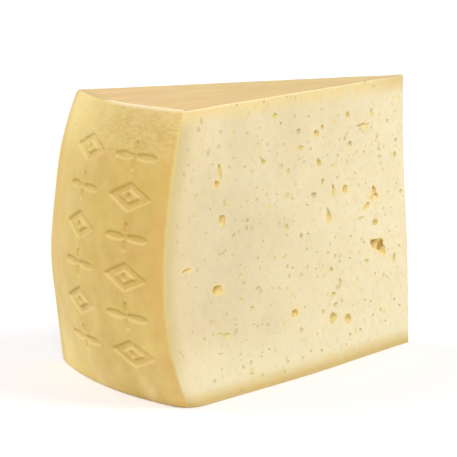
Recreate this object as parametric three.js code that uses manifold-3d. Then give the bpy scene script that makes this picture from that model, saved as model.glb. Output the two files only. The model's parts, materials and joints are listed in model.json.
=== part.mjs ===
// A wedge of hard pressed cheese: about a tenth of a wheel, cut from rim to centre and
// standing on the wheel's flat underside. It is one solid. Millimetres, +Z up, with the
// swollen rind towards -Y, the tip (the wheel's centre) towards +Y, and the origin under
// the middle of the wedge's box.
//
// The body is a stack of outlines. Each outline runs from the tip along the near cut,
// round the rind and back along the far cut, and the rind swells out half way up. Shallow
// stamped ornaments and the cheese's eyes, its gas holes, are then cut from the body.

import * as THREE from 'three';
import { mergeVertices } from 'three/addons/utils/BufferGeometryUtils.js';
import Module from 'manifold-3d';

const { degToRad, lerp, smoothstep, seededRandom } = THREE.MathUtils;

// --- Driving dimensions, in millimetres and degrees -------------------------------------

// The tip's upright edge leans a little, as the knife wandered: its foot and its top.
const TIP = {
  foot: new THREE.Vector2(1.6, 1.8),
  top: new THREE.Vector2(-1.6, -1.8),
  height: 130.9,
};

// The two cuts. Each turns from -Y by a few degrees more or less at the foot than at the
// top, and reaches from the tip to the rim. Between the rims the rind swells out, with the
// fullest part a share higher than half way where skew is above 0.
const CUTS = {
  near: { turn: { foot: 19.6, top: 18.6 }, reach: { foot: 168.6, top: 161.6 },
    swell: 14.5, skew: 0, height: 130.3, corner: 3 },
  far: { turn: { foot: -18.2, top: -19.6 }, reach: { foot: 170.4, top: 157.8 },
    swell: 8.2, skew: 0.32, height: 128.6, corner: 1 },
};

const RIM = { reach: 1.2, height: 3 }; // the worn rims above and below the rind
const NEAR_FOOT = { corner: 11, height: 25 }; // the near corner is worn rounder at its foot

const STAMP = { width: 24, height: 12, stroke: 3, depth: 1.3, dot: 3, gap: 1 };
const STAMP_COLUMNS = [0.23, 0.58]; // share of the way across the rind from the near cut
const STAMP_ROWS = { lowest: 22, pitch: 17.5, count: 6 };

// The largest eyes of the near cut: distance from the tip, height, length along the cut,
// breadth up it, and how far the long way is tipped from level.
const NEAR_EYES = [
  { from: 24, height: 51, length: 14, breadth: 7, tipped: -28 },
  { from: 28, height: 74, length: 12, breadth: 5, tipped: 40 },
  { from: 27, height: 63, length: 6, breadth: 4, tipped: 0 },
  { from: 49, height: 82, length: 4.5, breadth: 5, tipped: 0 },
  { from: 59, height: 82, length: 3.5, breadth: 6, tipped: 0 },
  { from: 61.5, height: 71, length: 4, breadth: 6.5, tipped: 10 },
  { from: 139.5, height: 99.5, length: 3.5, breadth: 11, tipped: -10 },
  { from: 138, height: 80, length: 5, breadth: 5, tipped: 0 },
  { from: 163, height: 61.5, length: 7, breadth: 3, tipped: -12 },
  { from: 142.5, height: 49.5, length: 6.5, breadth: 6, tipped: 0 },
  { from: 138, height: 28, length: 9, breadth: 3, tipped: -14 },
  { from: 88.5, height: 29.5, length: 5, breadth: 4, tipped: 0 },
  { from: 59, height: 23.5, length: 5, breadth: 5, tipped: 0 },
  { from: 47.5, height: 20.5, length: 5, breadth: 5, tipped: 0 },
  { from: 109, height: 102, length: 4, breadth: 4, tipped: 0 },
  { from: 33, height: 110, length: 10, breadth: 2.5, tipped: 0 },
];

// The far cut's eyes are scattered: how many, their sizes, the clear edge round the face
// and the least distance between two of them.
const FAR_EYES = { count: 16, smallest: 3.5, largest: 11, margin: 14, gap: 12, seed: 7 };

// How fine the facets are.
const RIND_STEPS = 26;
const CORNER_STEPS = 4;
const BODY_STEPS = 18;
const RIM_STEPS = 3;
const STAMP_STEPS = 5;
const EYE_DETAIL = 1;

// --- The body ---------------------------------------------------------------------------

// All heights are first taken as a share of the whole: 0 at the foot and 1 at the top.
function tipPoint(share) {
  return TIP.foot.clone().lerp(TIP.top, share);
}

// The direction of a cut in plan, turned from -Y.
function direction(turn) {
  return new THREE.Vector2(Math.sin(degToRad(turn)), -Math.cos(degToRad(turn)));
}

function cutDirection({ turn }, share) {
  return direction(lerp(turn.foot, turn.top, share));
}

// The top is one plane through the tops of the three upright edges.
const topPlane = new THREE.Plane().setFromCoplanarPoints(
  new THREE.Vector3(TIP.top.x, TIP.top.y, TIP.height),
  ...[CUTS.far, CUTS.near].map((cut) => {
    const corner = tipPoint(1).addScaledVector(cutDirection(cut, 1), cut.reach.top);
    return new THREE.Vector3(corner.x, corner.y, cut.height);
  }),
);

function heightAt(point, share) {
  const { normal, constant } = topPlane;
  return (-share * (normal.x * point.x + normal.y * point.y + constant)) / normal.z;
}

// How much a worn rim draws the rind in, at this distance from the flat face.
function rimWear(distance) {
  const along = Math.min(distance / RIM.height, 1);
  return RIM.reach * (1 - Math.sqrt(1 - (1 - along) ** 2));
}

// The rind's outline at one height, from the near cut (0) to the far cut (1).
class RindLine extends THREE.Curve {
  constructor(share) {
    super();
    this.share = share;
  }

  getPoint(across, target = new THREE.Vector2()) {
    const { share } = this;
    const { near, far } = CUTS;
    const footReach = lerp(near.reach.foot, far.reach.foot, across);
    const topReach = lerp(near.reach.top, far.reach.top, smoothstep(across, 0, 1));
    const swell = lerp(near.swell, far.swell, across);
    const skew = 1 + lerp(near.skew, far.skew, across) * (share - 0.5);
    const reach = lerp(footReach, topReach, share)
      + 4 * swell * share * (1 - share) * skew
      - rimWear(Math.min(share, 1 - share) * near.height);
    const turn = lerp(lerp(near.turn.foot, near.turn.top, share),
      lerp(far.turn.foot, far.turn.top, share), across);
    return target.copy(direction(turn)).multiplyScalar(reach).add(tipPoint(share));
  }
}

// One whole outline: the tip, the near corner's rounding, the rind, the far corner's.
function outline(share) {
  const rind = new RindLine(share);
  const rindLength = rind.getLength();
  const lowness = Math.max(0, 1 - (share * CUTS.near.height) / NEAR_FOOT.height);
  const nearCorner = lerp(CUTS.near.corner, NEAR_FOOT.corner, lowness);
  const start = nearCorner / rindLength;
  const end = 1 - CUTS.far.corner / rindLength;
  const corner = (from, size, to) => {
    const point = rind.getPoint(from);
    const alongCut = tipPoint(share).sub(point).setLength(size).add(point);
    const curve = new THREE.QuadraticBezierCurve(alongCut, point, rind.getPoint(to));
    return curve.getPoints(CORNER_STEPS);
  };
  const points = [tipPoint(share), ...corner(0, nearCorner, start)];
  for (let step = 1; step < RIND_STEPS; step += 1) {
    points.push(rind.getPoint(lerp(start, end, step / RIND_STEPS)));
  }
  return points.concat(corner(1, CUTS.far.corner, end).reverse());
}

// Heights of the outlines, as shares: close together in the worn rims, even between.
function outlineShares() {
  const rim = RIM.height / CUTS.near.height;
  const shares = [];
  for (let step = 0; step < RIM_STEPS; step += 1) {
    shares.push(rim * (1 - Math.cos((step / RIM_STEPS) * (Math.PI / 2))));
  }
  const topShares = shares.map((share) => 1 - share).reverse();
  for (let step = 0; step <= BODY_STEPS; step += 1) {
    shares.push(lerp(rim, 1 - rim, step / BODY_STEPS));
  }
  return shares.concat(topShares);
}

// A closed skin over the stack of outlines, with a flat underside and a flat top.
function wedgeGeometry() {
  const rings = outlineShares().map((share) => ({ share, points: outline(share) }));
  const count = rings[0].points.length;
  const positions = rings.flatMap(({ share, points }) =>
    points.flatMap((point) => [point.x, point.y, heightAt(point, share)]));
  const faces = [];
  for (let ring = 0; ring < rings.length - 1; ring += 1) {
    for (let side = 0; side < count; side += 1) {
      const low = ring * count + side;
      const lowNext = ring * count + ((side + 1) % count);
      faces.push(low, low + count, lowNext, lowNext, low + count, lowNext + count);
    }
  }
  const top = (rings.length - 1) * count;
  for (const [a, b, c] of THREE.ShapeUtils.triangulateShape(rings[0].points, [])) {
    faces.push(c, b, a);
  }
  for (const [a, b, c] of THREE.ShapeUtils.triangulateShape(rings.at(-1).points, [])) {
    faces.push(top + a, top + b, top + c);
  }
  const geometry = new THREE.BufferGeometry();
  geometry.setAttribute('position', new THREE.Float32BufferAttribute(positions, 3));
  geometry.setIndex(faces);
  return geometry;
}

// --- Cutting ----------------------------------------------------------------------------

const wasm = await Module();
wasm.setup();

function solid(geometry) {
  geometry.deleteAttribute('normal');
  geometry.deleteAttribute('uv');
  const merged = mergeVertices(geometry);
  return new wasm.Manifold(new wasm.Mesh({
    numProp: 3,
    vertProperties: merged.attributes.position.array,
    triVerts: Uint32Array.from(merged.index.array),
  }));
}

function geometryOf(manifold) {
  const mesh = manifold.getMesh();
  const geometry = new THREE.BufferGeometry();
  geometry.setAttribute('position', new THREE.BufferAttribute(mesh.vertProperties, 3));
  geometry.setIndex(new THREE.BufferAttribute(mesh.triVerts, 1));
  return geometry;
}

// --- The stamped ornaments ----------------------------------------------------------------

// A place on the rind, with x running along it, y up it and z out of it.
function rindFrame(across, height) {
  const nudge = 0.01;
  const pointAt = (a, share) => {
    const point = new RindLine(share).getPoint(a);
    return new THREE.Vector3(point.x, point.y, heightAt(point, share));
  };
  const share = height / CUTS.near.height;
  const point = pointAt(across, share);
  const along = pointAt(across - nudge, share).sub(point).normalize();
  const up = pointAt(across, share + nudge).sub(point).normalize();
  const out = along.clone().cross(up).normalize();
  return new THREE.Matrix4().makeBasis(along, out.clone().cross(along), out).setPosition(point);
}

function lozenge(path, halfWidth, halfHeight) {
  return path.moveTo(halfWidth, 0).lineTo(0, halfHeight).lineTo(-halfWidth, 0)
    .lineTo(0, -halfHeight).closePath();
}

// A lozenge drawn with an even stroke.
function lozengeFrame({ width, height, stroke }) {
  const frame = lozenge(new THREE.Shape(), width / 2, height / 2);
  const inset = stroke * Math.hypot(width, height);
  frame.holes.push(
    lozenge(new THREE.Path(), (width - inset / height) / 2, (height - inset / width) / 2));
  return frame;
}

// Two long petals along the rind and two short ones up and down it.
function petals({ width, height, stroke, dot, gap }) {
  const long = (width - dot) / 4 - gap / 2;
  const short = (height - dot) / 4 - gap / 2;
  return [[1, 0], [-1, 0], [0, 1], [0, -1]].map(([x, y]) => new THREE.Shape().absellipse(
    x * (width / 2 - long), y * (height / 2 - short),
    x ? long : stroke / 2, y ? short : stroke / 2, 0, 2 * Math.PI));
}

// Lozenges and four-petalled flowers take turns, up the rind and across it.
function stampCutters() {
  const cutters = [];
  STAMP_COLUMNS.forEach((across, column) => {
    for (let row = 0; row < STAMP_ROWS.count; row += 1) {
      const frame = rindFrame(across, STAMP_ROWS.lowest + row * STAMP_ROWS.pitch);
      const isLozenge = (row + column) % 2 === 0;
      const dot = new THREE.Shape().absarc(0, 0, STAMP.dot / 2, 0, 2 * Math.PI);
      for (const shape of [dot, ...(isLozenge ? [lozengeFrame(STAMP)] : petals(STAMP))]) {
        const cutter = new THREE.ExtrudeGeometry(shape, {
          depth: 4 * STAMP.depth, bevelEnabled: false, curveSegments: STAMP_STEPS,
        });
        cutters.push(cutter.translate(0, 0, -STAMP.depth).applyMatrix4(frame));
      }
    }
  });
  return cutters;
}

// --- The eyes -----------------------------------------------------------------------------

function scatteredEyes({ count, smallest, largest, margin, gap, seed }) {
  seededRandom(seed);
  const between = (low, high) => lerp(low, high, seededRandom());
  const eyes = [];
  while (eyes.length < count) {
    const length = lerp(smallest, largest, seededRandom() ** 2);
    const eye = {
      from: between(margin, CUTS.far.reach.top - margin),
      height: between(margin, CUTS.far.height - margin),
      length,
      breadth: length * between(0.5, 1),
      tipped: between(-40, 40),
    };
    const isClear = (other) =>
      Math.hypot(other.from - eye.from, other.height - eye.height) > gap;
    if (eyes.every(isClear)) eyes.push(eye);
  }
  return eyes;
}

// A flattened ball sunk half way into a cut.
function eyeCutter(cut, { from, height, length, breadth, tipped }) {
  const share = height / cut.height;
  const along = cutDirection(cut, share);
  const place = tipPoint(share).addScaledVector(along, from);
  const depth = (length + breadth) / 4;
  const cutter = new THREE.IcosahedronGeometry(1, EYE_DETAIL);
  cutter.scale(length / 2, depth, breadth / 2);
  cutter.rotateY(degToRad(tipped));
  cutter.rotateZ(along.angle());
  return cutter.translate(place.x, place.y, height);
}

// --- The part -------------------------------------------------------------------------------

const cutters = [
  ...stampCutters(),
  ...NEAR_EYES.map((eye) => eyeCutter(CUTS.near, eye)),
  ...scatteredEyes(FAR_EYES).map((eye) => eyeCutter(CUTS.far, eye)),
];
const body = cutters.reduce((rest, cutter) => rest.subtract(solid(cutter)), solid(wedgeGeometry()));

const geometry = geometryOf(body);
geometry.computeBoundingBox();
const centre = geometry.boundingBox.getCenter(new THREE.Vector3());
geometry.translate(-centre.x, -centre.y, 0);

const wedge = new THREE.Mesh(geometry, new THREE.MeshStandardMaterial({
  color: '#e3d4a6',
  roughness: 0.55,
  metalness: 0,
}));
wedge.name = 'cheese_wedge';

const part = new THREE.Group();
part.add(wedge);

export default part;
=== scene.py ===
# %% [markdown]
# # A wedge of pressed cheese
#
# About a tenth of a wheel, cut from rim to centre and stood on the wheel's flat underside.
# The model says where it stands and how large it is. Here the plain solid is replaced by
# one finished mesh: a swollen, stamped rind, two knife cuts, and in them the eyes that gas
# left in the paste. It starts with the model's own box, which the finished mesh keeps to.

# %% The frame
import json
import math
from collections import namedtuple

import bmesh
import bpy
import numpy as np
from mathutils import Matrix, Vector
from mathutils.kdtree import KDTree

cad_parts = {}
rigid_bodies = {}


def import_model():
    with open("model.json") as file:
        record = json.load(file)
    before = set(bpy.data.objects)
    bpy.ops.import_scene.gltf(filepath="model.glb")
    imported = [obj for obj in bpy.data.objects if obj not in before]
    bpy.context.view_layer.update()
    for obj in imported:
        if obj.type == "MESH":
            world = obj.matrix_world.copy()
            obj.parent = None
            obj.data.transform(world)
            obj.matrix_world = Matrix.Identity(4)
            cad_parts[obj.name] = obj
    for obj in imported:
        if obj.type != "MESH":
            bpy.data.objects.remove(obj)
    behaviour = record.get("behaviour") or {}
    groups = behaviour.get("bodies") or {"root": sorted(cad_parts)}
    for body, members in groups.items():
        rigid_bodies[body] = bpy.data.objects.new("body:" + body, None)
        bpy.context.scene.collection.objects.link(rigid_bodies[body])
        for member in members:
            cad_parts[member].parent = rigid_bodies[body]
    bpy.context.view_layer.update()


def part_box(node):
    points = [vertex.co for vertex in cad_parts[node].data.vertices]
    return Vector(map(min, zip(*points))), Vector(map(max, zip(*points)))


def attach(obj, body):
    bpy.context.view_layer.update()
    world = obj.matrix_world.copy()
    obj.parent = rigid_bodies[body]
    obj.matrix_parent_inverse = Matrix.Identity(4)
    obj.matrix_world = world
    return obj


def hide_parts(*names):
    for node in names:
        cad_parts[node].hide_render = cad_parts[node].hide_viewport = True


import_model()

NODE = "cheese_wedge"
MM = 0.001

# %% [markdown]
# ## The shape in numbers
#
# All the shaping below starts from a few real sizes. A point of the wedge is named by three
# shares: `out`, from the tip (0) to the rim (1); `across`, from the near cut (0) to the far
# cut (1); and `up`, from the foot (0) to the top (1). One function turns the three shares
# into a place. The same numbers then serve the block, the stamps, the eyes and the colours,
# which is why they come before any mesh.

# %% Sizes
TIP_LEAN = np.array([1.6, 1.8]) * MM      # the tip's foot; its top leans as far the other way
TIP_HEIGHT = 130.9 * MM
NEAR = {"turn": (19.6, 18.6), "reach": (168.1 * MM, 161.6 * MM), "swell": 14.0 * MM,
        "skew": -0.75, "height": 130.3 * MM}
FAR = {"turn": (-18.2, -19.6), "reach": (169.8 * MM, 156.9 * MM), "swell": 9.2 * MM,
       "skew": 0.32, "height": 127.6 * MM}
RIM_WEAR, RIM_HEIGHT = 0.6 * MM, 2 * MM
CORNER, FOOT_CORNER, FOOT_CORNER_HEIGHT = 3 * MM, 11 * MM, 25 * MM
TIP_RADIUS = 1.0 * MM
HALF_ANGLE = math.radians(19)
TIP_TRIM = TIP_RADIUS / math.sin(HALF_ANGLE) - TIP_RADIUS    # what the rounding takes off


def mix(a, b, share):
    return a + (b - a) * share


def smooth(share):
    share = np.clip(share, 0, 1)
    return share * share * (3 - 2 * share)


def direction(turn):
    """The way out from the tip, turned from -Y, in radians."""
    return np.stack([np.sin(turn), -np.cos(turn)], -1)


def tip_at(up):
    return mix(TIP_LEAN, -TIP_LEAN, np.asarray(up)[..., None])


def turn_at(across, up):
    near = mix(*NEAR["turn"], up)
    far = mix(*FAR["turn"], up)
    return np.radians(mix(near, far, across))


def nose_at(up):
    """Where the two cuts would meet: a little past the tip, which is rounded later."""
    middle = (turn_at(0.0, up) + turn_at(1.0, up)) / 2
    return tip_at(up) - direction(middle) * TIP_TRIM


# %% The rind's reach
def rim_wear(distance):
    """How far a worn rim is drawn in, this far from the flat face."""
    along = np.clip(distance / RIM_HEIGHT, 0, 1)
    return RIM_WEAR * (1 - np.sqrt(1 - (1 - along) ** 2))


def reach_at(across, up):
    foot = mix(NEAR["reach"][0], FAR["reach"][0], across)
    top = mix(NEAR["reach"][1], FAR["reach"][1], smooth(across))
    swell = mix(NEAR["swell"], FAR["swell"], across)
    skew = 1 + mix(NEAR["skew"], FAR["skew"], across) * (up - 0.5)
    worn = rim_wear(np.minimum(up, 1 - up) * NEAR["height"])
    return mix(foot, top, up) + 4 * swell * up * (1 - up) * skew - worn


def top_corner(cut, across):
    flat = tip_at(1.0) + direction(turn_at(across, 1.0)) * cut["reach"][1]
    return Vector((*flat, cut["height"]))


tip_top = Vector((*tip_at(1.0), TIP_HEIGHT))
top_normal = (top_corner(NEAR, 0) - tip_top).cross(top_corner(FAR, 1) - tip_top).normalized()


def top_height(x, y):
    """The height of the flat top over a place in plan."""
    slope = (top_normal.x * (x - tip_top.x) + top_normal.y * (y - tip_top.y)) / top_normal.z
    return tip_top.z - slope


print(f"rind at half height: {reach_at(0.5, 0.5) / MM:.0f} mm from the tip")


# %% From shares to a place, and back
def rounded(below_rind, from_cut, size):
    """Draws points near the near corner onto its rounding: both distances as moved."""
    below = np.minimum(below_rind, from_cut)
    left = np.maximum(size - below, 1e-9)
    t = 0.5 * (1 + (from_cut - below_rind) / left)
    inside = (t > 0) & (t < 1) & (below < size)
    return (np.where(inside, below + left * (1 - t) ** 2, below_rind),
            np.where(inside, below + left * t ** 2, from_cut))


def place(out, across, up):
    """Points of the wedge from their three shares, in metres."""
    out, across, up = np.broadcast_arrays(*(np.asarray(v, float) for v in (out, across, up)))
    reach = reach_at(across, up)
    spread = turn_at(0.0, up) - turn_at(1.0, up)
    low = np.clip(1 - up * NEAR["height"] / FOOT_CORNER_HEIGHT, 0, 1)
    below_rind, from_cut = rounded(reach * (1 - out), across * spread * reach,
                                   mix(CORNER, FOOT_CORNER, low))
    turn = turn_at(from_cut / (spread * reach), up)
    rim = tip_at(up) + direction(turn) * reach[..., None]
    flat = mix(nose_at(up), rim, (1 - below_rind / reach)[..., None])
    return np.concatenate([flat, (up * top_height(flat[..., 0], flat[..., 1]))[..., None]], -1)


def heading(arm):
    return np.arctan2(arm[..., 0], -arm[..., 1])


def shares(points):
    """The three shares of points, from their places. The cuts fan out from the nose and
    the rind from the tip, so `across` is closed in on by a few corrections."""
    up = points[:, 2] / top_height(points[:, 0], points[:, 1])
    arm = points[:, :2] - nose_at(up)
    across = np.full(len(points), 0.5)
    for _ in range(4):
        rim = direction(turn_at(across, up)) * reach_at(across, up)[:, None]
        rim += tip_at(up) - nose_at(up)
        across += (heading(rim) - heading(arm)) / (turn_at(0.0, up) - turn_at(1.0, up))
    return np.hypot(*arm.T) / np.hypot(*rim.T), across, up


# %% [markdown]
# ## The camera
#
# The photograph looks a little down on the wedge from its near side, through a long lens,
# so upright edges stay almost parallel. The camera is set first, in the numbers that a
# photographer would give: how far round, how high, how far off and which way it looks.

# %% Camera
CAMERA_ROUND, CAMERA_ABOVE, CAMERA_ROLL = (math.radians(a) for a in (57.78, 10.617, 0.212))
CAMERA_DISTANCE = 1.1652
AIM = Vector((0, -0.080, 0.065))
AIM_RIGHT, AIM_UP = -0.01732, -0.00112
LENS_PIXELS, PHOTO_PIXELS, SENSOR = 2500, 457, 36

back = Vector((math.sin(CAMERA_ROUND) * math.cos(CAMERA_ABOVE),
               -math.cos(CAMERA_ROUND) * math.cos(CAMERA_ABOVE), math.sin(CAMERA_ABOVE)))
level = Vector((math.cos(CAMERA_ROUND), math.sin(CAMERA_ROUND), 0))
upright = back.cross(level)
eye_point = AIM + level * AIM_RIGHT + upright * AIM_UP + back * CAMERA_DISTANCE
right = level * math.cos(CAMERA_ROLL) + upright * math.sin(CAMERA_ROLL)

camera = bpy.data.objects.new("camera", bpy.data.cameras.new("camera"))
bpy.context.scene.collection.objects.link(camera)
bpy.context.scene.camera = camera
camera.data.sensor_width = SENSOR
camera.data.lens = LENS_PIXELS / PHOTO_PIXELS * SENSOR
print(f"lens {camera.data.lens:.0f} mm")

# %% [markdown]
# ## Tools for the hand work
#
# An operator acts on whatever is selected, so each step first clears the selection and then
# takes exactly the faces, edges or points that it means, by a test on each.

# %% Selecting
def rest():
    if bpy.context.mode != "OBJECT":
        bpy.ops.object.mode_set(mode="OBJECT")
    bpy.ops.object.select_all(action="DESELECT")


def take(*objects):
    rest()
    for obj in objects:
        obj.select_set(True)
    bpy.context.view_layer.objects.active = objects[0]


def edit_parts(obj, kind, wanted):
    """Goes to edit mode with the points, edges or faces selected that the test wants."""
    take(obj)
    bpy.ops.object.mode_set(mode="EDIT")
    bpy.ops.mesh.select_mode(type=kind)
    bpy.ops.mesh.select_all(action="DESELECT")
    mesh = bmesh.from_edit_mesh(obj.data)
    for part in {"VERT": mesh.verts, "EDGE": mesh.edges, "FACE": mesh.faces}[kind]:
        if wanted(part):
            part.select_set(True)
    bmesh.update_edit_mesh(obj.data)


def edit_all(obj):
    take(obj)
    bpy.ops.object.mode_set(mode="EDIT")
    bpy.ops.mesh.select_all(action="SELECT")


def join(objects, name):
    take(*objects)
    bpy.ops.object.join()
    joined = bpy.context.object
    joined.name = joined.data.name = name
    return joined


def points_of(obj):
    points = np.empty(len(obj.data.vertices) * 3)
    obj.data.vertices.foreach_get("co", points)
    return points.reshape(-1, 3)


def normals_of(obj):
    normals = np.empty(len(obj.data.vertices) * 3)
    obj.data.vertices.foreach_get("normal", normals)
    return normals.reshape(-1, 3)


def move_points(obj, points):
    obj.data.vertices.foreach_set("co", points.ravel())
    obj.data.update()


def add_modifier(obj, kind, **settings):
    modifier = obj.modifiers.new(kind.lower(), kind)
    for key, value in settings.items():
        setattr(modifier, key, value)
    return modifier


def apply_modifiers(obj):
    take(obj)
    for modifier in list(obj.modifiers):
        bpy.ops.object.modifier_apply(modifier=modifier.name)


# %% [markdown]
# ## The block
#
# A knife parts a wheel by two cuts that meet at its centre. The block is made the same way
# round: a sheet of squares stands as the near cut, and a spin about the tip's edge sweeps
# it to the far cut, which makes rind, top and underside on the way. A cube pulled to a
# point would also do, but the spin gives neat rings that follow the rind.

# %% Block
CELL = 8 * MM                       # the first squares; all finer ones halve them
BLOCK_REACH, BLOCK_HEIGHT = NEAR["reach"][0], NEAR["height"]
BLOCK_SPREAD = math.radians(38)

rest()
bpy.ops.mesh.primitive_grid_add(
    x_subdivisions=round(BLOCK_REACH / CELL), y_subdivisions=round(BLOCK_HEIGHT / CELL), size=1,
    location=(BLOCK_REACH / 2, 0, BLOCK_HEIGHT / 2), rotation=(math.radians(90), 0, 0))
wedge = bpy.context.object
wedge.name = wedge.data.name = "wheel_wedge"
wedge.scale = (BLOCK_REACH, BLOCK_HEIGHT, 1)
bpy.ops.object.transform_apply(location=True, rotation=True, scale=True)

edit_all(wedge)
bpy.ops.mesh.spin(steps=round(BLOCK_SPREAD * BLOCK_REACH / CELL), angle=BLOCK_SPREAD,
                  center=(0, 0, 0), axis=(0, 0, 1))
bpy.ops.mesh.select_all(action="SELECT")
bpy.ops.mesh.remove_doubles(threshold=0.01 * MM)
bpy.ops.mesh.normals_make_consistent(inside=False)
rest()
print("block:", len(wedge.data.polygons), "squares")

# %% [markdown]
# ## Rind or paste
#
# Three finishes meet along the edges: the rind round the wheel's side, the wheel's flat
# faces, which lay on boards, and the paste inside. They are told apart now, while every
# face still lies flat and its normal gives it away. The eyes' lining is a fourth.

# %% Finishes by face
RIND, FLATS, PASTE, LINING = range(4)
finishes = [bpy.data.materials.new(name) for name in ("rind", "flat rind", "paste", "eye lining")]


def give_finishes(obj, index):
    """All four finishes, with one of them on every face."""
    for finish in finishes:
        obj.data.materials.append(finish)
    obj.data.polygons.foreach_set("material_index", [index] * len(obj.data.polygons))


give_finishes(wedge, RIND)

far_normal = Vector((-math.sin(BLOCK_SPREAD), -math.cos(BLOCK_SPREAD), 0))
cut_normals = (Vector((0, 1, 0)), far_normal)


def is_cut(face):
    return any(face.normal.dot(normal) > 0.999 for normal in cut_normals)


def is_level(face):
    return abs(face.normal.z) > 0.9


def is_side(face):
    return not is_cut(face) and not is_level(face)


for index, wanted in ((PASTE, is_cut), (FLATS, is_level)):
    edit_parts(wedge, "FACE", wanted)
    wedge.active_material_index = index
    bpy.ops.object.material_slot_assign()
rest()

# %% [markdown]
# ## Finer where the detail is
#
# The underside needs few squares, the cuts more, the rind still more, and the rind under
# the stamps the most. Halving a selection again and again puts them where they are needed.

# %% Halving the squares
STAMP_COLUMNS = (0.23, 0.58)
STAMP_WIDTH, STAMP_HEIGHT, STAMP_STROKE = 28 * MM, 11.5 * MM, 1.9 * MM
STAMP_LOWEST, STAMP_PITCH, STAMP_COUNT = 22 * MM, 17.5 * MM, 6
STAMP_DEPTH, STAMP_WALL, STAMP_DOT = 0.85 * MM, 1.2 * MM, 1.8 * MM


def halve(obj, wanted):
    edit_parts(obj, "FACE", wanted)
    bpy.ops.mesh.subdivide(number_cuts=1)
    rest()


def under_stamps(face):
    """Rind faces under the two columns of stamps, with a little room round them."""
    if not is_side(face):
        return False
    middle = face.calc_center_median()
    across = math.atan2(-middle.y, middle.x) / BLOCK_SPREAD
    room = (STAMP_WIDTH / 2 + 2 * MM) / (BLOCK_SPREAD * BLOCK_REACH)
    top = STAMP_LOWEST + (STAMP_COUNT - 1) * STAMP_PITCH
    inside = STAMP_LOWEST - STAMP_HEIGHT < middle.z < top + STAMP_HEIGHT
    return inside and any(abs(across - column) < room for column in STAMP_COLUMNS)


halve(wedge, lambda face: True)
halve(wedge, lambda face: not (is_level(face) and face.normal.z < 0))
halve(wedge, is_side)
halve(wedge, under_stamps)
print("after halving:", len(wedge.data.polygons), "faces")

# %% [markdown]
# ## Pressing it into shape
#
# A wheel sags as it ripens: the rind swells half way up, the rims wear, and the knife
# leans a little. Every point keeps its three shares while `place` gives it its true seat.

# %% Press
ROWS, ROWS_MOVED = np.array([(0, 2, 6, 200), (0, 3.3, 6, 200)]) * MM   # room for the tip's bevel

block = points_of(wedge)
out = np.interp(np.hypot(block[:, 0], block[:, 1]), ROWS, ROWS_MOVED) / BLOCK_REACH
across = np.arctan2(-block[:, 1], block[:, 0]) / BLOCK_SPREAD
up = block[:, 2] / BLOCK_HEIGHT
move_points(wedge, place(out, np.where(out > 1e-6, across, 0.5), up))

low, high = points_of(wedge).min(0), points_of(wedge).max(0)
high[1] -= TIP_TRIM
cad_low, cad_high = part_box(NODE)
shift = (cad_low + cad_high) / 2 - Vector((low + high) / 2)
shift.z = 0
print("pressed:", [round(v / MM, 1) for v in high - low],
      "shift", [round(v / MM, 2) for v in shift])

# %% [markdown]
# ## The lip and the soft edges
#
# A knife doesn't leave a razor's edge in cheese. The sharp edges are bevelled by half a
# millimetre, and the tip, the thinnest place, by more. On the top the press left a thin
# lip along the rim: an inset ring keeps the flat where it is while the rim is lifted.

# %% Lip
LIP_WIDTH, LIP_HEIGHT = 1.1 * MM, 0.7 * MM
LIP_END, LIP_FADE = 0.62, 0.15       # where it ends along the rim, and over what share of it

edit_parts(wedge, "FACE", lambda face: face.normal.z > 0.9)
bpy.ops.mesh.inset(thickness=LIP_WIDTH, depth=0)
rest()
points = points_of(wedge)
out, across, up = shares(points)
on_rim = (up > 0.9999) & ((1 - out) * BLOCK_REACH < 0.4 * LIP_WIDTH)
points[:, 2] += LIP_HEIGHT * on_rim * smooth((LIP_END - across) / LIP_FADE)
move_points(wedge, points)
print("lip:", int(on_rim.sum()), "points")

# %% Soft edges
EDGE, TIP_EDGE = 0.4 * MM, TIP_RADIUS / math.tan(HALF_ANGLE)
SHARP = math.radians(38)             # edges that turn by more than this are bevelled


def is_sharp(edge):
    return edge.calc_face_angle(0) > SHARP


def at_tip(edge):
    low, high = (vertex.co for vertex in edge.verts)
    return abs(high.z - low.z) > 0.9 * edge.calc_length() and low.y > -5 * MM


edit_parts(wedge, "EDGE", lambda edge: is_sharp(edge) and at_tip(edge))
bpy.ops.mesh.bevel(offset=TIP_EDGE, segments=4, clamp_overlap=True)
edit_parts(wedge, "EDGE", lambda edge: is_sharp(edge) and not at_tip(edge))
bpy.ops.mesh.bevel(offset=EDGE, segments=2, clamp_overlap=True)
rest()
print("soft edges:", len(wedge.data.polygons), "faces")

# %% [markdown]
# ## Stamps in the rind
#
# While the wheel is young, a band with raised marks presses rows of ornaments into its
# side: here lozenges and four-petalled flowers, by turns. Flat stamps are drawn once, laid
# on the rind and wrapped to it. Each point of the rind then sinks by how near it lies to a
# stamp, which gives pressed walls with a soft shoulder. A boolean would leave sharp ones.

# %% Two stamps
def flat_disc(width, height, x=0.0, y=0.0, corners=24):
    rest()
    bpy.ops.mesh.primitive_circle_add(vertices=corners, radius=0.5, fill_type="NGON")
    disc = bpy.context.object
    disc.scale = (width, height, 1)
    disc.location = (x, y, 0)
    bpy.ops.object.transform_apply(location=True, rotation=True, scale=True)
    return disc


def lozenge_stamp():
    ring = flat_disc(STAMP_WIDTH, STAMP_HEIGHT, corners=4)
    edit_all(ring)
    bpy.ops.mesh.inset(thickness=STAMP_STROKE)
    bpy.ops.mesh.delete(type="FACE")
    bpy.ops.mesh.select_all(action="SELECT")
    bpy.ops.mesh.subdivide(number_cuts=7)
    rest()
    return join([ring, flat_disc(STAMP_DOT, STAMP_DOT)], "lozenge_stamp")


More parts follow.
